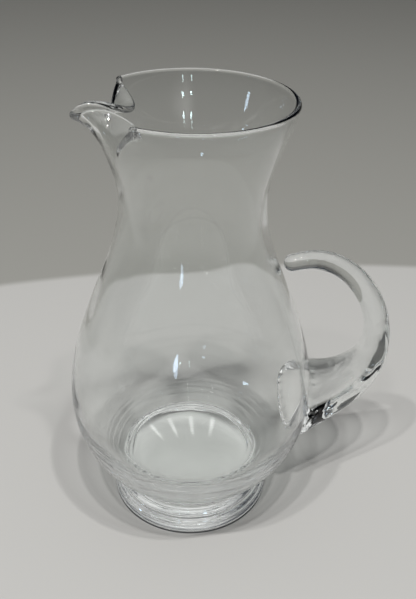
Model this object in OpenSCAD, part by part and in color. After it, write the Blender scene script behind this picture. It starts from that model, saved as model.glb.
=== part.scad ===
/* [Bowl] */
// Height from the table to the top of the rim
height = 250; // [225:1:290]
// Widest outside diameter of the belly
belly_d = 141; // [125:1:160]
// Height of the widest place of the belly
belly_z = 76; // [65:1:90]
// Outside diameter of the shoulder, where the belly draws in to the neck
shoulder_d = 111; // [100:1:120]
// Height of the shoulder
shoulder_z = 138; // [125:1:155]
// Outside diameter of the neck at its narrowest
neck_d = 76.4; // [68:0.2:90]
// Height of the narrowest place of the neck
neck_z = 199; // [180:1:205]
// Outside diameter of the mouth at the rim
rim_d = 103.2; // [94:0.2:115]
// Thickness of the blown wall
wall = 2.6; // [2:0.1:3.6]
// Thickness of the bowl's floor over the foot
floor_t = 2.6; // [2:0.1:5]

/* [Rim and pouring lip] */
// Thickness of the fire polished rim
rim_t = 3.2; // [2.4:0.1:4]
// How far down from the rim the wall is drawn and pinched to make the lip
lip_zone = 22; // [18:0.5:28]
// Distance of the lip's end from the axis
lip_reach = 58.2; // [54:0.2:66]
// How far the lip's end lies below the rim
lip_drop = 6; // [3:0.2:9]
// Outside width of the pouring channel
channel_w = 15.6; // [13:0.2:18]
// How far the channel's two edges lie below the rim
channel_drop = 1.2; // [0.6:0.1:4]
// Distance between the two pinches, where the wall is pushed in to hold back ice
pinch_gap = 36.4; // [31:0.2:40]
// Distance of the two pinches from the axis, along the lip
pinch_x = 28.8; // [26:0.2:32]
// How far the rim dips at the two pinches
pinch_drop = 6.6; // [4:0.2:9]
// Distance between the two points where the round rim ends
horn_gap = 77; // [70:0.5:82]

/* [Foot] */
// Diameter of the foot on the table
foot_d = 96.4; // [86:0.2:110]
// Height of the solid foot under the bowl
foot_h = 24; // [18:0.5:30]
// Diameter of the joint between foot and bowl
seat_d = 85; // [78:0.5:92]
// Diameter of the foot's waist
waist_d = 83.6; // [76:0.2:90]
// Height of the foot's waist
waist_z = 16.5; // [12:0.5:17]
// Radius of the foot's polished bottom edge
foot_edge_r = 2.4; // [1.4:0.1:3.4]

/* [Handle] */
// Height of the middle of the handle's seal on the belly
seal_z = 59; // [52:0.5:70]
// Height of the seal where the handle is fused to the belly
seal_h = 43; // [36:0.5:50]
// Width of the seal round the belly, where the hot gather has spread sideways
seal_w = 53; // [46:0.5:60]
// Length over which the handle's height draws in from the seal
flare_len = 61; // [45:1:75]
// Length over which the handle's width draws in from the seal
spread_len = 112; // [90:1:125]
// How far the handle's axis stands off the belly at its outermost
handle_stand = 42.6; // [36:0.2:52]
// Height of the handle's outermost place
grip_z = 98; // [90:1:110]
// Height of the axis of the handle's top
handle_top_z = 156.2; // [145:0.2:175]
// Diameter of the drawn rod at its thin end
rod_d = 10.2; // [8:0.2:13]
// How much thicker the rod is near the belly, apart from the seal
rod_gain = 9.4; // [6:0.2:12]
// Gap between the handle's free end and the neck
tip_gap = 3; // [2:0.2:6]

/* [Hidden] */
$fn = 128;
// Radii that follow from the diameters
belly_r = belly_d / 2;
neck_r = neck_d / 2;
rim_r = rim_d / 2;
seat_r = seat_d / 2;
// How far round its ellipse the belly's underside goes before it meets the foot, in degrees
under_turn = 72;
// Slopes of the outside: at the shoulder, as a share of the line from belly to neck, and at the rim
shoulder_slope_share = 1.47;
rim_slope_share = 0.2;
shoulder_slope = shoulder_slope_share * (neck_r - belly_r) / (neck_z - belly_z);
// Height of the bowl's floor, and of the outside edge from which the round rim is rolled
floor_z = foot_h + floor_t;
rim_z = height - rim_t / 2 * (1 + sin(atan(rim_slope_share)));
// Ellipse of the belly's underside, outside and inside
under_a = (belly_r - seat_r) / (1 - cos(under_turn));
under_c = belly_r - under_a;
under_b = (belly_z - foot_h) / sin(under_turn);
inside_a = under_a - wall;
inside_b = (belly_z - floor_z) / sin(under_turn);
// Steps of the turned outlines
under_steps = 16;
side_steps = 44;
// Small step for slopes, which also keeps the lip's mesh within the wall that carries it
small_share = 0.025;
small_step = wall * small_share;

// Cubic curve from value a to value b over a length, with a slope at each end
function ease(a, b, slope_a, slope_b, span, t) =
    a * (1 - 3 * t * t + 2 * t * t * t) + b * (3 * t * t - 2 * t * t * t)
    + slope_a * span * (t - 2 * t * t + t * t * t) + slope_b * span * (t * t * t - t * t);

// Outside radius at any height above the belly's widest place
function upper_r(z) =
    z <= shoulder_z
    ? ease(belly_r, shoulder_d / 2, 0, shoulder_slope, shoulder_z - belly_z,
        (z - belly_z) / (shoulder_z - belly_z))
    : z <= neck_z
    ? ease(shoulder_d / 2, neck_r, shoulder_slope, 0, neck_z - shoulder_z,
        (z - shoulder_z) / (neck_z - shoulder_z))
    : ease(neck_r, rim_r, 0, rim_slope_share, height - neck_z, (z - neck_z) / (height - neck_z));

// Outside radius, its slope and the inside radius at any height above the foot
function outer_r(z) =
    z < belly_z ? under_c + under_a * sqrt(1 - pow((belly_z - z) / under_b, 2)) : upper_r(z);
function outer_slope(z) = (outer_r(z + small_step) - outer_r(z - small_step)) / (2 * small_step);
function inner_r(z) = outer_r(z) - wall * sqrt(1 + pow(outer_slope(z), 2));

// Outlines of the bowl's outside and inside, from the foot up to a height
function under_line(a, b) =
    [for (i = [0:under_steps]) let (t = under_turn * (1 - i / under_steps))
        [under_c + a * cos(t), belly_z - b * sin(t)]];
function outer_line(top) =
    concat(under_line(under_a, under_b),
        [for (i = [1:side_steps]) let (z = belly_z + (top - belly_z) * i / side_steps)
            [outer_r(z), z]]);
function inner_line(top) =
    concat(under_line(inside_a, inside_b),
        [for (i = [1:side_steps]) let (z = belly_z + (top - belly_z) * i / side_steps)
            [inner_r(z), z]]);
function backwards(list) = [for (i = [len(list) - 1:-1:0]) list[i]];

// Smooth curve through a row of points, at a place counted in points
function through(p, t) =
    let (i = min(floor(t), len(p) - 4), f = t - i, a = p[i], b = p[i + 1], c = p[i + 2], d = p[i + 3])
    (2 * b + (c - a) * f + (2 * a - 5 * b + 4 * c - d) * f * f
    + (3 * b - a - 3 * c + d) * f * f * f) / 2;

// Edge of the lip on one side, from its end to the horn where the round rim begins.
// Each place is its distance from the axis along the lip, its distance to the side,
// and how far it lies below the rim. The shares are of the sizes beside them.
horn_turn = asin(horn_gap / 2 / rim_r);
horn_x = rim_r * cos(horn_turn);
lip_len = lip_reach - pinch_x;
pinch_w = (pinch_gap - channel_w) / 2;
fold_w = (horn_gap - pinch_gap) / 2;
fold_x = horn_x - pinch_x;
nose_share = [[0.96, 0.52, 0.94], [0.86, 0.98, 0.55]];
channel_share = [[0.71, 1.04, 0.06], [0.5, 0.97, 0], [0.31, 1.08, 0.3]];
throat_share = [[0.11, 0.4, 0.24]];
fold_share = [[0.02, 0.28, 0.8], [0.42, 0.6, 0.42], [0.82, 0.86, 0.16]];
lip_edge = concat(
    [[lip_reach, 0, lip_drop]],
    [for (s = nose_share) [pinch_x + lip_len * s[0], channel_w / 2 * s[1],
        channel_drop + (lip_drop - channel_drop) * s[2]]],
    [for (s = channel_share) [pinch_x + lip_len * s[0], channel_w / 2 * s[1],
        channel_drop + (pinch_drop - channel_drop) * s[2]]],
    [for (s = throat_share) [pinch_x + lip_len * s[0], channel_w / 2 + pinch_w * s[1],
        pinch_drop - (pinch_drop - channel_drop) * s[2]]],
    [[pinch_x, pinch_gap / 2, pinch_drop]],
    [for (s = fold_share) [pinch_x + fold_x * s[0], pinch_gap / 2 + fold_w * s[1], pinch_drop * s[2]]],
    [[horn_x, horn_gap / 2, 0]]);
edge_n = len(lip_edge) - 1;
// Share of the lip's zone that each place of the edge draws down: less beside the channel
fade_share = [1, 1, 1, 1, 1, 0.98, 0.95, 0.88, 0.7, 0.48, 0.28, 0.15];
fade_at = [for (i = [0:edge_n]) [i, fade_share[i]]];

// Steps round half of the rim: along the drawn edge, and along the round part
lip_steps = 2;
round_steps = 25;
round_turn = (180 - horn_turn) / round_steps;
function on_rim(turn) = [rim_r * cos(turn), rim_r * sin(turn), 0];
edge_run = concat(
    [[lip_edge[1][0], -lip_edge[1][1], lip_edge[1][2]]],
    lip_edge,
    [on_rim(horn_turn + round_turn)]);
// Places of the rim: the turn on the plain rim, the place on the drawn rim, and its fade share
half_rim = concat(
    [for (i = [0:edge_n * lip_steps]) let (t = i / lip_steps)
        [horn_turn * t / edge_n, through(edge_run, t), lookup(t, fade_at)]],
    [for (i = [1:round_steps]) let (turn = horn_turn + round_turn * i)
        [turn, on_rim(turn), fade_share[edge_n]]]);
half_n = len(half_rim) - 1;
full_rim = concat(
    half_rim,
    [for (i = [half_n - 1:-1:1]) let (h = half_rim[i]) [-h[0], [h[1][0], -h[1][1], h[1][2]], h[2]]]);
rim_n = len(full_rim);

// Rows of the lip's mesh, closer together near the rim, and steps over the rim's bead
lip_rows = 11;
bead_steps = 4;
row_power = 1.35;
// How quickly the drawn shape fades into the turned wall, and the wall thickens to the rim
fade_power = 2.2;
bead_power = 4;
lip_root_z = rim_z - lip_zone - wall;
function row_z(j) = rim_z - (rim_z - lip_root_z) * pow(1 - j / lip_rows, row_power);
// Share of the drawn shape that reaches a height, where it fades out over a depth
function drawn(z, depth) = z > rim_z - depth ? pow(1 - (rim_z - z) / depth, fade_power) : 0;
// Place on the outside of the drawn wall: the lip points along minus X
function wall_place(i, z) =
    let (turn = full_rim[i][0], edge = full_rim[i][1], r = outer_r(z), w = drawn(z, lip_zone * full_rim[i][2]),
        x = r * cos(turn) + w * (edge[0] - rim_r * cos(turn)),
        y = r * sin(turn) + w * (edge[1] - rim_r * sin(turn)))
    [-x, y, z - w * edge[2]];
function unit(v) = v / norm(v);
outside = [for (j = [0:lip_rows]) [for (i = [0:rim_n - 1]) wall_place(i, row_z(j))]];
// Directions round the wall, up the wall and out of the wall at each place of the mesh
function around(j, i) = outside[j][(i + 1) % rim_n] - outside[j][(i + rim_n - 1) % rim_n];
function upward(j, i) = outside[min(j + 1, lip_rows)][i] - outside[max(j - 1, 0)][i];
function outward(j, i) = unit(cross(upward(j, i), around(j, i)));
function wall_at(j) = wall + (rim_t - wall) * pow(j / lip_rows, bead_power);
inside = [for (j = [0:lip_rows]) [for (i = [0:rim_n - 1])
    outside[j][i] - wall_at(j) * outward(j, i)]];
// The lowest rows lie flat on the turned wall, a small step inside its two edges
function ring_at(radius) =
    [for (i = [0:rim_n - 1]) let (turn = full_rim[i][0])
        [-radius * cos(turn), radius * sin(turn), lip_root_z]];
outer_root = ring_at(outer_r(lip_root_z) - small_step);
inner_root = ring_at(inner_r(lip_root_z) + 2 * small_step);
bead = [for (k = [1:bead_steps]) let (turn = 180 * k / (bead_steps + 1))
    [for (i = [0:rim_n - 1])
        let (o = outside[lip_rows][i], mid = (o + inside[lip_rows][i]) / 2,
            up = unit(o - outside[lip_rows - 1][i]))
        mid + (o - mid) * cos(turn) + up * rim_t / 2 * sin(turn)]];
lip_rings = concat(
    [inner_root],
    [for (j = [1:lip_rows]) inside[j]],
    backwards(bead),
    [for (j = [lip_rows:-1:1]) outside[j]],
    [outer_root]);

// Closed surface over rings of points: each ring joins the next, and the last joins the first
// or, where the ends are capped, each end is one flat face
module skin(rings, capped) {
    n = len(rings[0]);
    m = len(rings);
    span = capped ? m - 1 : m;
    sides = [for (j = [0:span - 1], i = [0:n - 1])
        let (a = j * n + i, b = j * n + (i + 1) % n, c = ((j + 1) % m) * n + (i + 1) % n,
            d = ((j + 1) % m) * n + i) each [[a, c, b], [a, d, c]]];
    ends = capped ? [[for (i = [0:n - 1]) i], [for (i = [n - 1:-1:0]) (m - 1) * n + i]] : [];
    polyhedron([for (r = rings) each r], concat(sides, ends));
}

// One blown piece: belly, neck, fire polished rim and the lip drawn from the hot rim
module bowl() {
    color("aliceblue") union() {
        rotate_extrude()
            polygon(concat([[0, foot_h]], outer_line(lip_root_z), backwards(inner_line(lip_root_z)),
                [[0, floor_z]]));
        skin(lip_rings, false);
    }
}

// Outline of the foot's side: the polished edge, then a hollow curve up to the seat
edge_steps = 6;
hollow_steps = 8;
seat_steps = 5;
edge_points = [for (i = [0:edge_steps]) let (t = 90 * i / edge_steps)
    [foot_d / 2 - foot_edge_r + foot_edge_r * sin(t), foot_edge_r - foot_edge_r * cos(t)]];
hollow_points = [for (i = [1:hollow_steps]) let (t = i / hollow_steps)
    [ease(foot_d / 2, waist_d / 2, 0, 0, waist_z - foot_edge_r, t),
        foot_edge_r + (waist_z - foot_edge_r) * t]];
seat_points = [for (i = [1:seat_steps]) let (t = i / seat_steps)
    [waist_d / 2 + (seat_r - waist_d / 2) * t * t, waist_z + (foot_h - waist_z) * t]];

// Solid foot: a disc of glass cast onto the bowl, ground flat underneath
module foot() {
    color("lightcyan")
        rotate_extrude()
            polygon(concat([[0, 0]], edge_points, hollow_points, seat_points, [[0, foot_h]]));
}

// Axis of the handle in the plane of handle and lip: an arm out from the belly, a bow up and
// back to the crown, and a short straight run to the free end. The shares place the controls
// of the two curves, the crown, and the droop of the free end.
arm_reach_share = 0.72;
arm_rise_share = 0.2;
grip_rise_share = 0.5;
bow_rise_share = 0.48;
bow_reach_share = 0.5;
crown_share = 0.18;
droop_share = 0.1;
arm_steps = 15;
bow_steps = 14;
tip_steps = 3;
function bezier(p, t) =
    p[0] * pow(1 - t, 3) + p[1] * 3 * t * pow(1 - t, 2) + p[2] * 3 * t * t * (1 - t) + p[3] * t * t * t;
seal_x = outer_r(seal_z);
grip_x = belly_r + handle_stand;
tip_r = rod_d / 2;
tip_x = outer_r(handle_top_z) + tip_gap + tip_r;
crown_x = tip_x + (grip_x - tip_x) * crown_share;
tip_droop = rod_d * droop_share;
reach = grip_x - seal_x;
rise = grip_z - seal_z;
arch = handle_top_z - grip_z;
arm = [[seal_x, seal_z], [seal_x + reach * arm_reach_share, seal_z + rise * arm_rise_share],
    [grip_x, grip_z - rise * grip_rise_share], [grip_x, grip_z]];
bow = [[grip_x, grip_z], [grip_x, grip_z + arch * bow_rise_share],
    [crown_x + (grip_x - crown_x) * bow_reach_share, handle_top_z], [crown_x, handle_top_z]];
axis_line = concat(
    [for (i = [0:arm_steps]) bezier(arm, i / arm_steps)],
    [for (i = [1:bow_steps]) bezier(bow, i / bow_steps)],
    [for (i = [1:tip_steps]) let (t = i / tip_steps)
        [crown_x + (tip_x - crown_x) * t, handle_top_z - tip_droop * t * t]]);
axis_n = len(axis_line) - 1;
// Length along the axis to each of its places
run_len = [for (i = 0, s = 0; i <= axis_n;
    s = s + (i < axis_n ? norm(axis_line[i + 1] - axis_line[i]) : 0), i = i + 1) s];
rod_len = run_len[axis_n];
// Half height and half width of the rod: a long taper, and the flare to the seal, which draws
// in more slowly sideways
flare_h = seal_h / 2 - (rod_d + rod_gain) / 2;
flare_w = seal_w / 2 - (rod_d + rod_gain) / 2;
function flare_at(s, len) = pow(1 - min(max(s, 0) / len, 1), 2);
function taper_r(s) = rod_d / 2 + rod_gain / 2 * (1 - s / rod_len);
function rod_h(s) = taper_r(s) + flare_h * flare_at(s, flare_len);
function rod_w(s) = taper_r(s) + flare_w * flare_at(s, spread_len);
// The first rings lie along the belly's surface and then turn square to the axis
function heading(i) =
    let (d = axis_line[min(i + 1, axis_n)] - axis_line[max(i - 1, 0)]) atan2(d[1], d[0]);
seal_heading = atan(-outer_slope(seal_z));
function ring_heading(i) =
    let (t = min(run_len[i] / (flare_len / 2), 1), w = t * t * (3 - 2 * t))
    seal_heading + (heading(i) - seal_heading) * w;
// Ring of the rod round a place of the axis, square to a heading
rod_sides = 28;
function rod_ring(at, angle, half_h, half_w) =
    [for (k = [0:rod_sides - 1]) let (t = 360 * k / rod_sides, u = half_h * cos(t))
        [at[0] - u * sin(angle), half_w * sin(t), at[1] + u * cos(angle)]];
// Rings that go into the belly, whose outside then cuts them off
root_steps = 2;
seal_sink = seal_h / 4;
root_rings = [for (k = [root_steps:-1:1]) let (s = seal_sink * k / root_steps)
    rod_ring(axis_line[0] - s * [cos(seal_heading), sin(seal_heading)], seal_heading,
        rod_h(-s), rod_w(-s))];
rod_rings = [for (i = [0:axis_n])
    rod_ring(axis_line[i], ring_heading(i), rod_h(run_len[i]), rod_w(run_len[i]))];
// Rings of the rounded free end
end_steps = 5;
end_turn = 80;
end_heading = heading(axis_n);
end_rings = [for (k = [1:end_steps]) let (t = end_turn * k / end_steps)
    rod_ring(axis_line[axis_n] + tip_r * sin(t) * [cos(end_heading), sin(end_heading)], end_heading,
        tip_r * cos(t), tip_r * cos(t))];

// Handle: one gather of hot glass sealed to the belly, drawn out and bent up, its end left free
module handle() {
    color("azure")
        difference() {
            skin(backwards(concat(root_rings, rod_rings, end_rings)), true);
            rotate_extrude()
                polygon(concat([[0, foot_h]], outer_line(lip_root_z), [[0, lip_root_z]]));
        }
}

bowl();
foot();
handle();
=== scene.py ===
import math
import bpy
import numpy as np
from mathutils import Matrix, Vector, geometry


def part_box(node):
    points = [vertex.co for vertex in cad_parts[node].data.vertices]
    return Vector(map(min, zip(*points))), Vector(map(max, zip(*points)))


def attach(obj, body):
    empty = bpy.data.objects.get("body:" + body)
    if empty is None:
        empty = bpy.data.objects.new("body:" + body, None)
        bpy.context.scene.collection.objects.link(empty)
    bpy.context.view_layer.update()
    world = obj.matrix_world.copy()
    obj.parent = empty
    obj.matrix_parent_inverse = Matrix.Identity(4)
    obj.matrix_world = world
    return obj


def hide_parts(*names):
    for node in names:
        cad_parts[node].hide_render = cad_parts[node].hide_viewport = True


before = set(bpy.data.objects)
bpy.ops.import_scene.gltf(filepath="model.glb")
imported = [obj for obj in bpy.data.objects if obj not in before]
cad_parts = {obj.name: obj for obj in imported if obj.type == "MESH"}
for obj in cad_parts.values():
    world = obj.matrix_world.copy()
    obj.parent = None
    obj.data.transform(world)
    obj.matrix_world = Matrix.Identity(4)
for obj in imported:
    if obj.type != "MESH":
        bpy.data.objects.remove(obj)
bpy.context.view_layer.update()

# BOWL
# One bubble of clear soda glass, blown and turned: belly, neck, and a mouth whose cut edge is
# fire polished to a round bead. The pouring lip is drawn and pinched from the hot rim.
mm = 0.001
height = 250 * mm
belly_r, belly_z = 70.5 * mm, 76 * mm
shoulder_r, shoulder_z = 55.5 * mm, 138 * mm
neck_r, neck_z = 38.2 * mm, 199 * mm
rim_r, rim_t = 51.6 * mm, 3.2 * mm
wall, floor_t = 2.6 * mm, 2.6 * mm
foot_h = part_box("foot")[1][2]
seat_r = 42.5 * mm
floor_z = foot_h + floor_t
under_turn = math.radians(72)
rim_slope, shoulder_fall = 0.2, 1.47
shoulder_slope = shoulder_fall * (neck_r - belly_r) / (neck_z - belly_z)
rim_z = height - rim_t / 2 * (1 + math.sin(math.atan(rim_slope)))
under_a = (belly_r - seat_r) / (1 - math.cos(under_turn))
under_c = belly_r - under_a
under_b = (belly_z - foot_h) / math.sin(under_turn)
inside_a = under_a - wall
inside_b = (belly_z - floor_z) / math.sin(under_turn)


def ease(start, end, slope_start, slope_end, span, t):
    """Cubic curve between two values over a span, with a slope at each end"""
    return (start * (1 - 3 * t**2 + 2 * t**3) + end * (3 * t**2 - 2 * t**3)
            + slope_start * span * (t - 2 * t**2 + t**3) + slope_end * span * (t**3 - t**2))


def outer_r(z):
    """Outside radius of the blown shape at a height above the foot"""
    under = under_c + under_a * np.sqrt(np.clip(1 - ((belly_z - z) / under_b) ** 2, 0, 1))
    low = ease(belly_r, shoulder_r, 0, shoulder_slope, shoulder_z - belly_z,
               (z - belly_z) / (shoulder_z - belly_z))
    mid = ease(shoulder_r, neck_r, shoulder_slope, 0, neck_z - shoulder_z,
               (z - shoulder_z) / (neck_z - shoulder_z))
    high = ease(neck_r, rim_r, 0, rim_slope, height - neck_z, (z - neck_z) / (height - neck_z))
    return np.where(z < belly_z, under, np.where(z < shoulder_z, low, np.where(z < neck_z, mid, high)))


# Edge of the lip on one side, from its end to the horn where the round rim begins: distance from
# the axis, distance to the side, and how far it lies below the rim
lip_reach, lip_drop, lip_zone = 58.2 * mm, 6 * mm, 22 * mm
channel_r, channel_drop = 7.8 * mm, 1.2 * mm
pinch_r, pinch_x, pinch_drop = 18.2 * mm, 28.8 * mm, 6.6 * mm
horn_r = 38.5 * mm
horn_turn = math.asin(horn_r / rim_r)
horn_x = rim_r * math.cos(horn_turn)
nose_share = [[0.96, 0.52, 0.94], [0.86, 0.98, 0.55]]
channel_share = [[0.71, 1.04, 0.06], [0.5, 0.97, 0], [0.31, 1.08, 0.3]]
throat_share = [[0.11, 0.4, 0.24]]
fold_share = [[0.02, 0.28, 0.8], [0.42, 0.6, 0.42], [0.82, 0.86, 0.16]]
lip_len, fold_x = lip_reach - pinch_x, horn_x - pinch_x
lip_edge = (
    [[lip_reach, 0, lip_drop]]
    + [[pinch_x + lip_len * a, channel_r * b, channel_drop + (lip_drop - channel_drop) * c]
       for a, b, c in nose_share]
    + [[pinch_x + lip_len * a, channel_r * b, channel_drop + (pinch_drop - channel_drop) * c]
       for a, b, c in channel_share]
    + [[pinch_x + lip_len * a, channel_r + (pinch_r - channel_r) * b,
        pinch_drop - (pinch_drop - channel_drop) * c] for a, b, c in throat_share]
    + [[pinch_x, pinch_r, pinch_drop]]
    + [[pinch_x + fold_x * a, pinch_r + (horn_r - pinch_r) * b, pinch_drop * c]
       for a, b, c in fold_share]
    + [[horn_x, horn_r, 0]])
edge_n = len(lip_edge) - 1
# Share of the lip's zone that each place of the edge draws down: less beside the channel
fade_share = [1, 1, 1, 1, 1, 0.98, 0.95, 0.88, 0.7, 0.48, 0.28, 0.15]
fade_power, bead_power = 2.2, 4

# Columns round the bowl: the turn on the plain rim, the place on the drawn rim and its fade
lip_steps, round_steps, coarse_steps = 7, 66, 25
coarse_turn = (math.pi - horn_turn) / coarse_steps
first = lip_edge[1]
edge_run = np.array([[first[0], -first[1], first[2]]] + lip_edge
                    + [[rim_r * math.cos(horn_turn + coarse_turn),
                        rim_r * math.sin(horn_turn + coarse_turn), 0]])


def through(points, t):
    """Smooth curve through a row of points, at a place counted in points"""
    i = min(int(t), len(points) - 4)
    f = t - i
    a, b, c, d = points[i:i + 4]
    return (2 * b + (c - a) * f + (2 * a - 5 * b + 4 * c - d) * f**2
            + (3 * b - a - 3 * c + d) * f**3) / 2


half_rim = []
for i in range(edge_n * lip_steps + 1):
    t = i / lip_steps
    half_rim.append([horn_turn * t / edge_n, *through(edge_run, t),
                     np.interp(t, range(edge_n + 1), fade_share)])
for i in range(1, round_steps + 1):
    turn = horn_turn + (math.pi - horn_turn) * i / round_steps
    half_rim.append([turn, rim_r * math.cos(turn), rim_r * math.sin(turn), 0, fade_share[-1]])
other_half = [[-turn, x, -y, drop, fade] for turn, x, y, drop, fade in half_rim[-2:0:-1]]
turns, edge_x, edge_y, edge_drop, fades = np.array(half_rim + other_half).T
column_n = len(turns)


def facing(points):
    """Unit vectors out of a grid of places: rows go along one side, columns close in a ring"""
    tiny = 1e-12

    def slopes(before, here, after):
        near = np.linalg.norm(here - before, axis=-1, keepdims=True) + tiny
        far = np.linalg.norm(after - here, axis=-1, keepdims=True) + tiny
        return ((after - here) * near / far + (here - before) * far / near) / (near + far)

    up = np.empty_like(points)
    up[1:-1] = slopes(points[:-2], points[1:-1], points[2:])
    up[0], up[-1] = points[1] - points[0], points[-1] - points[-2]
    round_it = slopes(np.roll(points, 1, 1), points, np.roll(points, -1, 1))
    out = np.cross(up, round_it)
    return out / (np.linalg.norm(out, axis=-1, keepdims=True) + tiny)


def wall_grid(radii, heights):
    """Outside of the drawn wall on rows of a profile, the lip pointing along minus X"""
    r, z = radii[:, None], heights[:, None]
    share = np.clip(1 - (rim_z - z) / (lip_zone * fades), 0, 1) ** fade_power
    x = r * np.cos(turns) + share * (edge_x - rim_r * np.cos(turns))
    y = r * np.sin(turns) + share * (edge_y - rim_r * np.sin(turns))
    return np.stack([-x, y, z - share * edge_drop], axis=-1)


# Rows of the profile from the foot to the rim, closer together under the rim
under_rows, side_rows, lip_rows, bead_rows, floor_rows, fillet_rows = 30, 66, 34, 12, 20, 8
crowding = 1.35
lip_root_z = rim_z - lip_zone - wall
under_turns = under_turn * (1 - np.arange(under_rows) / under_rows)
under_line = [under_c + under_a * np.cos(under_turns), belly_z - under_b * np.sin(under_turns)]
side_z = np.linspace(belly_z, lip_root_z, side_rows + 1)
lip_z = rim_z - (rim_z - lip_root_z) * (1 - np.arange(1, lip_rows + 1) / lip_rows) ** crowding
upper_z = np.concatenate([side_z, lip_z])
outside = wall_grid(np.concatenate([under_line[0], outer_r(upper_z)]),
                    np.concatenate([under_line[1], upper_z]))
lip_share = np.clip((upper_z - lip_root_z) / (rim_z - lip_root_z), 0, 1) ** bead_power
thick = (wall + (rim_t - wall) * lip_share)[:, None, None]
upper_out = facing(outside)[under_rows:]
# The inside of hand blown glass isn't quite round: it swells and thins in slow waves
wave_depth, calm_top, calm_low = 0.16 * mm, 30 * mm, 12 * mm
long_rise, middle_rise, short_rise = 17 * mm, 11 * mm, 7.3 * mm
wave_z = upper_z[:, None]
wave = (np.sin(3 * turns + wave_z / long_rise) + 0.7 * np.sin(5 * turns - wave_z / middle_rise + 1.3)
        + 0.5 * np.sin(2 * turns - wave_z / short_rise + 0.4))
waved = np.clip((rim_z - wave_z) / calm_top, 0, 1) * np.clip((wave_z - belly_z) / calm_low, 0, 1)
upper_in = outside[under_rows:] - (thick + (wave_depth * wave * waved)[..., None]) * upper_out
inside_line = np.array([under_c + inside_a * np.cos(under_turns),
                        belly_z - inside_b * np.sin(under_turns)])
# The floor is flat, and a small hollow fillet joins it to the side
fillet, fillet_room = 6 * mm, 0.5 * mm
corner = inside_line[:, 0]
up_side = inside_line[:, 3] - corner
up_side = up_side / np.linalg.norm(up_side)
fillet_t = np.linspace(0, 1, fillet_rows)
fillet_line = [((1 - t) ** 2 * (corner - [fillet, 0]) + 2 * t * (1 - t) * corner
                + t**2 * (corner + fillet * up_side)) for t in fillet_t]
past_fillet = [p for p in inside_line.T if p[0] > corner[0] + fillet * up_side[0] + fillet_room]
# The gather is left thicker where the belly turns under, down to the floor
extra, extra_z = 2.8 * mm, 36 * mm
floor_r = np.linspace(0, 1, floor_rows + 1)[1:-1] * (corner[0] - fillet - extra)
low_side = np.array(fillet_line + past_fillet)
down = np.clip((belly_z - low_side[:, 1]) / (belly_z - extra_z), 0, 1)
low_side[:, 0] -= extra * down**2 * (3 - 2 * down)
# Fine rings that turning leaves in the thick glass round the floor
fine_step, ring_max, ring_width, ring_narrow = 0.45 * mm, 0.17 * mm, 0.55 * mm, 0.31 * mm
ring_start, ring_end, ring_fade = 4 * mm, 26 * mm, 12 * mm
side_run = np.concatenate([[0], np.cumsum(np.linalg.norm(np.diff(low_side, axis=0), axis=1))])
fine_run = np.arange(0, side_run[-1], fine_step)
low_side = np.stack([np.interp(fine_run, side_run, low_side[:, k]) for k in (0, 1)], axis=1)
ring_depth = (ring_max * np.clip(fine_run / ring_start, 0, 1)
              * np.clip((ring_end - fine_run) / ring_fade, 0, 1))
ring_wave = np.sin(fine_run / ring_width) + 0.6 * np.sin(fine_run / ring_narrow + 1)
along = np.gradient(low_side, axis=0)
along /= np.linalg.norm(along, axis=1, keepdims=True)
low_side += (ring_depth * ring_wave)[:, None] * np.stack([-along[:, 1], along[:, 0]], axis=1)
low_line = np.concatenate([np.stack([floor_r, np.full(len(floor_r), floor_z)], axis=1), low_side])
low_in = np.stack([-low_line[:, :1] * np.cos(turns), low_line[:, :1] * np.sin(turns),
                   np.repeat(low_line[:, 1:], column_n, axis=1)], axis=-1)
top_out, top_in = outside[-1], upper_in[-1]
middle = (top_out + top_in) / 2
up_edge = top_out - outside[-2]
up_edge /= np.linalg.norm(up_edge, axis=-1, keepdims=True)
bead = [middle + (top_out - middle) * math.cos(a) + up_edge * rim_t / 2 * math.sin(a)
        for a in np.linspace(0, math.pi, bead_rows + 2)[1:-1]]
bowl_grid = np.concatenate([outside, bead, upper_in[::-1], low_in[::-1]])
bowl_out = facing(bowl_grid)
row_n = len(bowl_grid)

# Seal of the handle on the belly: a short cone of glass that meets the belly in an oval
seal_z, seal_h, seal_w = 59 * mm, 43 * mm, 53 * mm
flare_len, spread_len = 61 * mm, 112 * mm
upright, across = (seal_h, flare_len), (seal_w, spread_len)
rod_d, rod_gain, rod_len = 10.2 * mm, 9.4 * mm, 156 * mm
small = 0.05 * mm
wrinkle, wide_wrinkles, narrow_wrinkles = 0.22 * mm, 23, 38
seal_x = float(outer_r(seal_z))
seal_lean = math.atan(float(outer_r(seal_z - small) - outer_r(seal_z + small)) / (2 * small))
seal_at = np.array([seal_x, 0, seal_z])
seal_out = np.array([math.cos(seal_lean), 0, math.sin(seal_lean)])
seal_up = np.array([-math.sin(seal_lean), 0, math.cos(seal_lean)])
sideways = np.array([0, 1, 0])


def rod_half(s, seal, drawn_in):
    """Half the rod's height or width at a length along it: a long taper, and the flare to the seal"""
    return (rod_d / 2 + rod_gain / 2 * (1 - s / rod_len)
            + (seal - rod_d - rod_gain) / 2 * max(1 - max(s, 0) / drawn_in, 0) ** 2)


# The hot gather bulges over its contact: the edge of the seal is rounded under by part of a
# circle, and has cooled in fine wrinkles
bulge, bulge_turn = 2.2 * mm, math.radians(-60)


def wrinkled(turn):
    """How far the seal's wrinkles go in, round the seal"""
    return wrinkle * (np.sin(wide_wrinkles * turn) + 0.7 * np.sin(narrow_wrinkles * turn + 1))


def on_cone(turn, depth, bend=0):
    """Place on the seal's cone, at a depth behind the middle of the seal and a bend of its edge"""
    tucked = bulge * (1 - math.cos(bend)) + wrinkled(turn) * (1 - bend / bulge_turn)
    return (seal_at - depth * seal_out
            + (rod_half(-depth, *upright) - tucked) * math.cos(turn) * seal_up
            + (rod_half(-depth, *across) - tucked) * math.sin(turn) * sideways)


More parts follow.
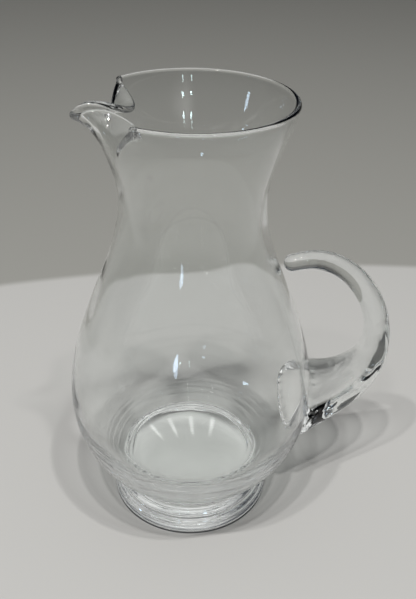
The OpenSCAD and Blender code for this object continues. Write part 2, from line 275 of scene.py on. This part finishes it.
rod_sides, deepest, halvings = 160, 15 * mm, 40
seal_depth = []
for k in range(rod_sides):
    low, high = 0, deepest
    for halving in range(halvings):
        depth = (low + high) / 2
        x, y, z = on_cone(2 * math.pi * k / rod_sides, depth, bulge_turn)
        if math.hypot(x, y) > outer_r(z):
            low = depth
        else:
            high = depth
    seal_depth.append(depth)
seal_line = np.array([on_cone(2 * math.pi * k / rod_sides, d, bulge_turn)
                      for k, d in enumerate(seal_depth)])

# The belly's mesh follows the oval: a window of it is cut anew, and the faces inside the oval
# are where the two pieces of glass are fused
middle_column = edge_n * lip_steps + round_steps
half_window, window_low, window_high = 15, 29 * mm, 89 * mm
seal_room, same_place = 1.1 * mm, 1e-7
row_z = outside[:, middle_column, 2]
steps = np.hypot(np.diff(outside[:, middle_column, 0]), np.diff(row_z))
row_run = np.concatenate([[0], np.cumsum(steps)])
window_rows = [j for j, z in enumerate(row_z) if window_low < z < window_high]
window_columns = range(middle_column - half_window, middle_column + half_window + 1)
seal_run = np.stack([np.arctan2(seal_line[:, 1], seal_line[:, 0]) * belly_r,
                     np.interp(seal_line[:, 2], row_z, row_run)], axis=1)
flat, window_ids = [], []
for j in window_rows:
    for i in window_columns:
        x, y, z = outside[j, i]
        place = np.array([math.atan2(y, x) * belly_r, row_run[j]])
        if np.linalg.norm(seal_run - place, axis=1).min() > seal_room:
            flat.append(Vector(place))
            window_ids.append(j * column_n + i)
first_seal = len(flat)
flat += [Vector(place) for place in seal_run]
window_ids += [row_n * column_n + k for k in range(rod_sides)]
oval = [(first_seal + k, first_seal + (k + 1) % rod_sides) for k in range(rod_sides)]
cut = geometry.delaunay_2d_cdt(flat, oval, [], 0, same_place)
bowl_places = np.concatenate([bowl_grid.reshape(-1, 3), seal_line])
seal_slope = (outer_r(seal_line[:, 2] + small) - outer_r(seal_line[:, 2] - small)) / (2 * small)
seal_facing = seal_line * [1, 1, 0] / np.linalg.norm(seal_line[:, :2], axis=1)[:, None]
seal_facing[:, 2] = -seal_slope
seal_facing /= np.linalg.norm(seal_facing, axis=1, keepdims=True)
bowl_facing = np.concatenate([bowl_out.reshape(-1, 3), seal_facing])
window_faces, seal_faces = [], []
for face in cut[2]:
    ids = [window_ids[cut[3][v][0]] for v in face]
    a, b, c = bowl_places[ids]
    if np.dot(np.cross(b - a, c - a), bowl_facing[ids[0]]) < 0:
        ids = ids[::-1]
    off = (a + b + c) / 3 - seal_at
    s, tucked = float(off @ seal_out), bulge * (1 - math.cos(bulge_turn))
    half_h, half_w = rod_half(s, *upright) - tucked, rod_half(s, *across) - tucked
    inside_oval = math.hypot(off @ seal_up / half_h, off @ sideways / half_w) < 1
    (seal_faces if inside_oval else window_faces).append(ids)


def ring_faces(first_row, last_row, columns, skip=()):
    """Faces between the rows of a closed grid, apart from those in a skipped window"""
    made = []
    for j in range(first_row, last_row):
        for i in range(columns):
            if (j, i) not in skip:
                k = (i + 1) % columns
                made.append([j * columns + i, (j + 1) * columns + i, (j + 1) * columns + k,
                             j * columns + k])
    return made


def glass_piece(name, places, faces, seams, directions, finishes):
    """A closed mesh of glass that keeps its own surface directions; its seam faces come last"""
    mesh = bpy.data.meshes.new(name)
    mesh.from_pydata([tuple(p) for p in places], [], faces + seams)
    for finish in finishes:
        mesh.materials.append(finish)
    mesh.polygons.foreach_set("material_index", [0] * len(faces) + [1] * len(seams))
    mesh.shade_smooth()
    mesh.normals_split_custom_set_from_vertices([tuple(n) for n in directions])
    piece = bpy.data.objects.new(name, mesh)
    bpy.context.scene.collection.objects.link(piece)
    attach(piece, "root")
    return piece


class Wire:
    """An output of a shader node: Python's operators join wires and numbers with Math nodes"""

    def __init__(self, tree, socket=None):
        self.tree, self.socket = tree, socket

    def node(self, kind, settings=None, inputs=None, out=0):
        """Output of a new node: its type, its settings, and a value or a wire for its inputs"""
        made = self.tree.nodes.new(kind)
        for name, value in (settings or {}).items():
            setattr(made, name, value)
        for name, value in (inputs or {}).items():
            if isinstance(value, Wire):
                self.tree.links.new(value.socket, made.inputs[name])
            else:
                made.inputs[name].default_value = value
        return Wire(self.tree, made.outputs[out])

    def math(self, operation, second=0, first=None):
        """Output of a new Math node on this value, and on a second where the operation takes two"""
        first = self if first is None else first
        return self.node("ShaderNodeMath", {"operation": operation}, {0: first, 1: second})

    def __add__(self, other):
        return self.math("ADD", other)

    def __radd__(self, other):
        return self.math("ADD", self, other)

    def __mul__(self, other):
        return self.math("MULTIPLY", other)

    def __rmul__(self, other):
        return self.math("MULTIPLY", self, other)

    def __sub__(self, other):
        return self.math("SUBTRACT", other)

    def __rsub__(self, other):
        return self.math("SUBTRACT", self, other)

    def rising(self, low, high):
        """Smooth step of this value, from 0 at the low end to 1 at the high end"""
        return self.node("ShaderNodeMapRange", {"interpolation_type": "SMOOTHSTEP"},
                         {"Value": self, "From Min": low, "From Max": high})

    def blend(self, first, second):
        """Colour that goes from the first to the second as this value goes from 0 to 1"""
        return self.node("ShaderNodeMix", {"data_type": "RGBA"},
                         {"Factor": self, "A": first, "B": second}, out=2)


def new_material(name):
    """A material with an empty tree: the wire that starts it, and its output's inputs"""
    material = bpy.data.materials.new(name)
    material.use_nodes = True
    tree = material.node_tree
    tree.nodes.clear()
    return material, Wire(tree), tree.nodes.new("ShaderNodeOutputMaterial").inputs


def clear_glass(name, clear, tinged, stretch, swell, bump, edge_power):
    """Clear soda glass: faint cords of a greener melt, and a surface that swells very slightly"""
    material, start, output = new_material(name)
    place = start.node("ShaderNodeTexCoord", out=3)
    stretched = start.node("ShaderNodeMapping", inputs={"Vector": place, "Scale": stretch})
    cords = start.node("ShaderNodeTexNoise", inputs={"Vector": stretched, "Scale": 30, "Detail": 3,
                                                     "Roughness": 0.6})
    slow = start.node("ShaderNodeTexNoise", inputs={"Vector": stretched, "Scale": swell, "Detail": 1})
    fine = start.node("ShaderNodeTexNoise", inputs={"Vector": stretched, "Scale": swell * 5, "Detail": 2})
    surface = start.node("ShaderNodeBump", inputs={"Strength": 1, "Distance": bump,
                                                   "Height": slow + 0.12 * fine})
    glass = start.node("ShaderNodeBsdfPrincipled", inputs={
        "Base Color": cords.blend(clear, tinged), "Roughness": 0, "IOR": 1.51,
        "Transmission Weight": 1, "Normal": surface})
    # Lamp light passes straight through, less where it grazes the wall, so edges throw soft rings
    lamp_tint = (0.92, 0.93, 0.927, 1)
    grazing = start.node("ShaderNodeLayerWeight", inputs={"Blend": 0.5}, out="Facing")
    lamp_ray = start.node("ShaderNodeLightPath", out="Is Shadow Ray")
    passing = start.node("ShaderNodeBsdfTransparent", inputs={"Color": lamp_tint})
    finish = start.node("ShaderNodeMixShader", inputs={
        0: lamp_ray * (1 - grazing.math("POWER", edge_power)), 1: glass, 2: passing})
    material.node_tree.links.new(finish.socket, output["Surface"])
    return material


def fused(name):
    """Inside of a hot seal, where two gathers have become one glass and nothing shows"""
    material, start, output = new_material(name)
    seam = start.node("ShaderNodeBsdfTransparent")
    material.node_tree.links.new(seam.socket, output["Surface"])
    return material


blown_glass = clear_glass("blown_soda_glass", (0.988, 0.995, 0.992, 1), (0.976, 0.99, 0.984, 1),
                          stretch=(1, 1, 0.4), swell=40, bump=0.1 * mm, edge_power=3)
fused_glass = fused("fused_glass")
skip = {(j, i) for j in window_rows[:-1] for i in window_columns[:-1]}
bowl_faces = (ring_faces(0, row_n - 1, column_n, skip) + window_faces
              + [list(range(row_n * column_n - 1, (row_n - 1) * column_n - 1, -1))])
bowl = glass_piece("blown_bowl", bowl_places, bowl_faces, seal_faces + [list(range(column_n))],
                   bowl_facing, [blown_glass, fused_glass])
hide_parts("bowl")

# FOOT
# A disc of the same glass, cast on under the hot bubble and tooled to a hollow side. Its underside
# is ground flat and polished, and its edge is rounded.
foot_r, edge_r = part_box("foot")[1][0], 2.4 * mm
waist_r, waist_z = 41.8 * mm, 16.5 * mm
tool_depth, wide_tooling, narrow_tooling = 0.2 * mm, 31, 53
edge_rows, hollow_rows, seat_rows = 8, 40, 12
edge_turns = np.linspace(0, math.pi / 2, edge_rows + 1)
edge_line = np.stack([foot_r - edge_r + edge_r * np.sin(edge_turns),
                      edge_r - edge_r * np.cos(edge_turns)])
t = np.linspace(0, 1, hollow_rows + 1)[1:]
tooled = tool_depth * np.sin(np.pi * t) * (np.sin(wide_tooling * t)
                                           + 0.6 * np.sin(narrow_tooling * t + 1))
hollow_line = np.stack([ease(foot_r, waist_r, 0, 0, waist_z - edge_r, t) + tooled,
                        edge_r + (waist_z - edge_r) * t])
t = np.linspace(0, 1, seat_rows + 1)[1:]
seat_line = np.stack([waist_r + (seat_r - waist_r) * t**2, waist_z + (foot_h - waist_z) * t])
foot_line = np.concatenate([edge_line, hollow_line, seat_line], axis=1).T
foot_grid = np.stack([-foot_line[:, :1] * np.cos(turns), foot_line[:, :1] * np.sin(turns),
                      np.repeat(foot_line[:, 1:], column_n, axis=1)], axis=-1)
foot_out = facing(foot_grid)
foot_out[0] = [0, 0, -1]
foot_rows = len(foot_grid)
cast_glass = clear_glass("cast_soda_glass", (0.98, 0.992, 0.988, 1), (0.965, 0.985, 0.977, 1),
                         stretch=(1, 1, 1), swell=34, bump=0.12 * mm, edge_power=1)
foot = glass_piece("cast_foot", foot_grid.reshape(-1, 3),
                   ring_faces(0, foot_rows - 1, column_n) + [list(range(column_n))],
                   [list(range(foot_rows * column_n - 1, (foot_rows - 1) * column_n - 1, -1))],
                   foot_out.reshape(-1, 3), [cast_glass, fused_glass])
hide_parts("foot")

# HANDLE
# One gather of the same glass, sealed to the hot belly, drawn out into a tapering rod and bent up.
# Its cut end is fire polished to a round tip that stands free of the shoulder.
grip_x, grip_z = belly_r + 42.6 * mm, 98 * mm
top_z, tip_gap = 156.2 * mm, 3 * mm
tip_r, tip_turn, tip_rings = rod_d / 2, math.radians(86), 15
tip_x = float(outer_r(top_z)) + tip_gap + tip_r
crown_share, droop_share = 0.18, 0.1
crown_x = tip_x + crown_share * (grip_x - tip_x)
tip_droop = droop_share * rod_d


def bezier(points, t):
    """Places along a curve with a start, two pulls and an end"""
    a, b, c, d = np.array(points)
    t = t[:, None]
    return a * (1 - t) ** 3 + 3 * b * t * (1 - t) ** 2 + 3 * c * t**2 * (1 - t) + d * t**3


# How far each part of the axis is pulled on towards its corner
arm_out, arm_up, arm_pull, bow_pull, crown_pull = 0.72, 0.2, 0.5, 0.48, 0.5
arm_steps, bow_steps, tip_steps = 60, 56, 12
reach, rise, arch = grip_x - seal_x, grip_z - seal_z, top_z - grip_z
arm = [[seal_x, seal_z], [seal_x + arm_out * reach, seal_z + arm_up * rise],
       [grip_x, grip_z - arm_pull * rise], [grip_x, grip_z]]
bow = [[grip_x, grip_z], [grip_x, grip_z + bow_pull * arch],
       [crown_x + crown_pull * (grip_x - crown_x), top_z], [crown_x, top_z]]
t = np.linspace(0, 1, tip_steps)[1:]
tip_run = np.stack([crown_x + (tip_x - crown_x) * t, top_z - tip_droop * t**2], axis=1)
axis = np.concatenate([bezier(arm, np.linspace(0, 1, arm_steps)),
                       bezier(bow, np.linspace(0, 1, bow_steps)[1:]), tip_run])
run = np.concatenate([[0], np.cumsum(np.linalg.norm(np.diff(axis, axis=0), axis=1))])
ahead = np.gradient(axis, axis=0)
lean = np.arctan2(ahead[:, 1], ahead[:, 0])
turned = np.clip(run / (flare_len / 2), 0, 1)
ring_lean = seal_lean + (lean - seal_lean) * turned**2 * (3 - 2 * turned)
round_rod = 2 * np.pi * np.arange(rod_sides) / rod_sides


def rod_ring(at, angle, half_h, half_w):
    """Ring of places round the rod's axis, square to the way the axis leans there"""
    u, v = half_h * np.cos(round_rod), half_w * np.sin(round_rod)
    return np.stack([at[0] - u * np.sin(angle), v, at[1] + u * np.cos(angle)], axis=1)


# The lines that drawing leaves run along the rod, and wander slowly round it. The wrinkles of
# the seal fade out over a short length, and the tongs leave waves at the free end.
line_depth, wander_len, wrinkle_len = 0.04 * mm, 90 * mm, 9 * mm
tong_depth, tong_len, tong_width = 0.2 * mm, 26 * mm, 0.9 * mm


def drawn_half(s, seal, drawn_in):
    """Half the rod's height or width at a length along it, with the lines cut into it"""
    wander = s / wander_len
    lines = (np.sin(7 * round_rod + wander) + 0.7 * np.sin(11 * round_rod - 1.7 * wander + 1)
             + 0.5 * np.sin(17 * round_rod + 2.3 * wander + 2))
    shallow = min(s / flare_len, 1)
    near_seal = max(1 - s / wrinkle_len, 0) ** 2
    near_end = min(max((s - run[-1]) / tong_len + 1, 0) * 2, 1)
    tonged = np.sin(s / tong_width + 2 * np.sin(round_rod))
    return (rod_half(s, seal, drawn_in) - line_depth * shallow * (1 + lines / 2.2)
            - near_seal * wrinkled(round_rod) - tong_depth / 2 * near_end * (1 + tonged))


# Rings of places from the fused edge round its bulge, out to the rod, along it and over the tip
bend_rows = 9
rings = [np.array([on_cone(a, d - bulge * (math.sin(bend) - math.sin(bulge_turn)), bend)
                   for a, d in zip(round_rod, seal_depth)])
         for bend in np.linspace(bulge_turn, 0, bend_rows)]
left_depth = [d + bulge * math.sin(bulge_turn) for d in seal_depth]
for share in (2 / 3, 1 / 3):
    rings.append(np.array([on_cone(a, d * share) for a, d in zip(round_rod, left_depth)]))
rings += [rod_ring(axis[k], ring_lean[k], drawn_half(run[k], *upright), drawn_half(run[k], *across))
          for k in range(len(axis))]
end_out = np.array([math.cos(lean[-1]), math.sin(lean[-1])])
tip_half = drawn_half(run[-1], *upright)
for a in np.linspace(0, tip_turn, tip_rings)[1:]:
    rings.append(rod_ring(axis[-1] + tip_r * math.sin(a) * end_out, lean[-1],
                          tip_half * math.cos(a), tip_half * math.cos(a)))
rod_grid = np.array(rings)
ring_n = len(rod_grid)
inner_ids = sorted({v for face in seal_faces for v in face if v < row_n * column_n})
renumber = {v: ring_n * rod_sides + k for k, v in enumerate(inner_ids)}
renumber.update({row_n * column_n + k: k for k in range(rod_sides)})
contact = [[renumber[v] for v in face[::-1]] for face in seal_faces]
rod_places = np.concatenate([rod_grid.reshape(-1, 3), bowl_places[inner_ids]])
rod_facing = np.concatenate([facing(rod_grid).reshape(-1, 3), -bowl_facing[inner_ids]])
drawn_glass = clear_glass("drawn_soda_glass", (0.98, 0.992, 0.988, 1), (0.965, 0.985, 0.977, 1),
                          stretch=(1, 1, 1), swell=60, bump=0.05 * mm, edge_power=1)
handle = glass_piece("drawn_handle", rod_places,
                     ring_faces(0, ring_n - 1, rod_sides)
                     + [list(range(ring_n * rod_sides - 1, (ring_n - 1) * rod_sides - 1, -1))],
                     contact, rod_facing, [drawn_glass, fused_glass])
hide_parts("handle")

# FLOOR
# A plain pale table top that the pitcher stands on. It is round, and the grey of the studio lies
# beyond its far edge, so that the clear neck stands against grey in the photograph's view.
floor_gap, floor_half = 0.25 * mm, 3.0
pale, grey = (0.57, 0.57, 0.56, 1), (0.36, 0.36, 0.34, 1)
# Besides the table's own colours: a painted pool of light under the foot, a painted shadow, and the
# colour of a painted glow
painted_light_pool, painted_gap_shadow_colour, painted_glow_colour = (0.82, 0.82, 0.805, 1), (0.05, 0.06, 0.07, 1), (1, 1, 0.985, 1)
table_r, table_back, edge_soft = 1.16, 0.9, 0.012
lit_from, lit_to = foot_r - 8 * mm, foot_r + 2 * mm
flat_top = bpy.data.meshes.new("table_top")
flat_top.from_pydata([(x * floor_half, y * floor_half, -floor_gap) for x, y in
                      ((-1, -1), (1, -1), (1, 1), (-1, 1))], [], [(0, 1, 2, 3)])
table = bpy.data.objects.new("table_top", flat_top)
bpy.context.scene.collection.objects.link(table)
pale_table, start, output = new_material("pale_table")
place = start.node("ShaderNodeNewGeometry", out=0)
away = start.node("ShaderNodeVectorMath", {"operation": "LENGTH"}, {0: place}, out=1)
# Inside the foot's edge the table is painted paler: a painted pool of light under the glass
beyond = away.rising(lit_from, lit_to)
from_middle = start.node("ShaderNodeVectorMath", {"operation": "DISTANCE"},
                         {0: place, 1: (0, -table_back, 0)}, out=1)
colour = from_middle.rising(table_r, table_r + edge_soft).blend(beyond.blend(painted_light_pool, pale), grey)
# Where the foot's rounded edge lifts off the table on the near side, little light gets under it, and a
# dark ring of painted shadow stands in for that
gap_r, gap_half, gap_end = foot_r - 0.7 * mm, 0.8 * mm, 30 * mm
along_table = start.node("ShaderNodeSeparateXYZ", inputs={0: place}, out=1)
off_gap = (away - gap_r).math("ABSOLUTE")
painted_gap_shadow = (1 - along_table.rising(0, gap_end)) * (1 - off_gap.rising(0, gap_half))
# The bowl and the foot gather light on the table under them, and it is painted on as glow: in clouds,
# most towards the foot's edge, and in four barred spokes on the far side, one for each ceiling lamp
cloud_glow, edge_glow, spoke_glow, narrowing = 0.1, 0.45, 1.3, 5
fan_middle, fan_turn, spoke_step = (2 * mm, -20 * mm, 0), math.radians(-2), math.radians(14)
fan_full, fan_end = 1.8 * spoke_step, 2.2 * spoke_step
spoke_r, spoke_full, spoke_end, bar_step = 54 * mm, 3 * mm, 12 * mm, 2.2 * mm
cloudy = start.node("ShaderNodeTexNoise", inputs={"Vector": place, "Scale": 60, "Detail": 3})
from_fan = start.node("ShaderNodeVectorMath", {"operation": "SUBTRACT"}, {0: place, 1: fan_middle})
fan_x = start.node("ShaderNodeSeparateXYZ", inputs={0: from_fan}, out=0)
fan_y = start.node("ShaderNodeSeparateXYZ", inputs={0: from_fan}, out=1)
fan_away = start.node("ShaderNodeVectorMath", {"operation": "LENGTH"}, {0: from_fan}, out=1)
turn_off = fan_x.math("ARCTAN2", fan_y) - fan_turn
spoke = (turn_off * (2 * math.pi / spoke_step) + math.pi).math("COSINE").math("MAXIMUM", 0)
barred = 0.6 + 0.4 * (fan_away * (2 * math.pi / bar_step)).math("SINE")
in_fan = 1 - turn_off.math("ABSOLUTE").rising(fan_full, fan_end)
in_reach = 1 - (fan_away - spoke_r).math("ABSOLUTE").rising(spoke_full, spoke_end)
spokes = spoke.math("POWER", narrowing) * barred * in_fan * in_reach * cloudy
to_edge = (away * (1 / foot_r)).math("POWER", narrowing)
painted_caustic_glow = (1 - beyond) * (1 - painted_gap_shadow) * (
    cloud_glow * cloudy + edge_glow * to_edge + spoke_glow * spokes)
# The emission carries the painted glow of light that the glass would gather
stone = start.node("ShaderNodeBsdfPrincipled", inputs={
    "Base Color": painted_gap_shadow.blend(colour, painted_gap_shadow_colour), "Roughness": 0.6, "Specular IOR Level": 0,
    "Emission Color": painted_caustic_glow.blend((0, 0, 0, 1), painted_glow_colour), "Emission Strength": 1})
pale_table.node_tree.links.new(stone.socket, output["Surface"])
flat_top.materials.append(pale_table)

# LIGHT
# The room's even light, and a row of four small ceiling lamps that throw the rings of shadow. What
# the glass shows besides them lights nothing: two windows with a bluish sky, two low lamps, and the
# room itself, grey low down, dark at the height of its walls and white overhead.
world = bpy.data.worlds.new("room")
bpy.context.scene.world = world
world.use_nodes = True
world.node_tree.nodes.clear()
start = Wire(world.node_tree)
even_light, grey_low = 0.18, (0.1, 0.1, 0.095, 1)
dark_wall, white_ceiling = (0.02, 0.025, 0.035, 1), (0.9, 0.9, 0.89, 1)
through_glass = start.node("ShaderNodeLightPath", out="Is Transmission Ray")
room_light = start.node("ShaderNodeBackground", inputs={
    "Color": (1, 1, 1, 1), "Strength": even_light + even_light * through_glass})
# The dark of the walls reaches higher at the back and at the sides, most of all on the left
grey_top, dark_start, dark_end, white_start = 0.11, 0.17, 0.42, 0.56
back_rise, side_rise, left_rise = 0.2, 0.35, 0.15
toward = start.node("ShaderNodeTexCoord", out=0)
to_right, to_back, upward = (start.node("ShaderNodeSeparateXYZ", inputs={0: toward}, out=k)
                             for k in range(3))
over_wall = (upward - back_rise * to_back - side_rise * to_right.math("ABSOLUTE")
             + left_rise * to_right)
room_colour = upward.rising(grey_top, dark_start).blend(
    grey_low, over_wall.rising(dark_end, white_start).blend(dark_wall, white_ceiling))
room_seen = start.node("ShaderNodeBackground", inputs={"Color": room_colour, "Strength": 1})
seen = sum(start.node("ShaderNodeLightPath", out=name)
           for name in ("Is Camera Ray", "Is Glossy Ray", "Is Transmission Ray"))
before_table = start.node("ShaderNodeLightPath", out="Diffuse Depth").math("LESS_THAN", 1)
room = start.node("ShaderNodeMixShader", inputs={0: seen * before_table, 1: room_light, 2: room_seen})
world_out = world.node_tree.nodes.new("ShaderNodeOutputWorld")
world.node_tree.links.new(room.socket, world_out.inputs["Surface"])


def panel(name, at, size, power, colour, lights_table):
    """A flat round lamp that faces the pitcher, and shows in its glass"""
    lamp = bpy.data.lights.new(name, "AREA")
    lamp.shape, lamp.size, lamp.size_y = "ELLIPSE", size[0], size[1]
    lamp.energy, lamp.color = power, colour
    holder = bpy.data.objects.new(name, lamp)
    holder.location = at
    holder.rotation_euler = (Vector((0, 0, height / 2)) - Vector(at)).to_track_quat("-Z", "Y").to_euler()
    holder.visible_diffuse = lights_table
    bpy.context.scene.collection.objects.link(holder)


warm, cool, sky = (1, 0.985, 0.96), (0.75, 0.97, 1), (0.62, 0.8, 1)
row_start, row_step, row_y, ceiling_z, lamp_d = -0.75, 0.36, -0.62, 1.9, 0.07
for k in range(4):
    panel(f"ceiling_lamp_{k + 1}", (row_start + row_step * k, row_y, ceiling_z), (lamp_d, lamp_d),
          power=8.8, colour=warm, lights_table=True)
panel("front_window", (-0.6, -1.4, 0.2), (0.1, 0.12), power=0.24, colour=sky, lights_table=False)
panel("side_window", (-1.4, -0.25, 0.655), (0.13, 0.075), power=0.42, colour=sky, lights_table=False)
low_y, low_z, low_d = -1.5, 0.74, 0.05
for k, x in enumerate((-0.17, 0.11)):
    panel(f"low_lamp_{k + 1}", (x, low_y, low_z), (low_d, low_d), power=0.15, colour=cool,
          lights_table=False)

# CAMERA
# The photograph's view: nearly square to the plane of lip and handle, looking down at the pitcher.
# Its place and focal length were solved from the ellipses of rim, floor and foot.
view_turn, view_yaw, view_pitch, view_roll = (math.radians(a) for a in (9, 1.472, 32.664, 1.308))
view_back, view_up = 348.11 * mm, 359.32 * mm
focal_px, frame_px, sensor = 743.26, 599, 36
camera = bpy.data.objects.new("camera", bpy.data.cameras.new("camera"))
camera.data.sensor_width = sensor
camera.data.lens = focal_px * sensor / frame_px
camera.data.clip_start = 0.01
way = view_turn + view_yaw
ahead = Vector((math.sin(way) * math.cos(view_pitch), math.cos(way) * math.cos(view_pitch),
                -math.sin(view_pitch)))
right = Vector((math.cos(way), -math.sin(way), 0))
up = right.cross(ahead)
right, up = (math.cos(view_roll) * right + math.sin(view_roll) * up,
             math.cos(view_roll) * up - math.sin(view_roll) * right)
camera.matrix_world = Matrix.Translation((-view_back * math.sin(view_turn),
                                          -view_back * math.cos(view_turn), view_up)) @ Matrix(
    (right, up, -ahead)).transposed().to_4x4()
bpy.context.scene.collection.objects.link(camera)
bpy.context.scene.camera = camera

# FINISH
# Plain colours, and enough bounces for light to pass every wall of the glass.
bpy.context.scene.view_settings.view_transform = "Standard"
cycles = bpy.context.scene.cycles
cycles.max_bounces = cycles.transmission_bounces = cycles.glossy_bounces = 40
cycles.transparent_max_bounces = 24
cycles.caustics_reflective = cycles.caustics_refractive = False
cycles.use_denoising = True
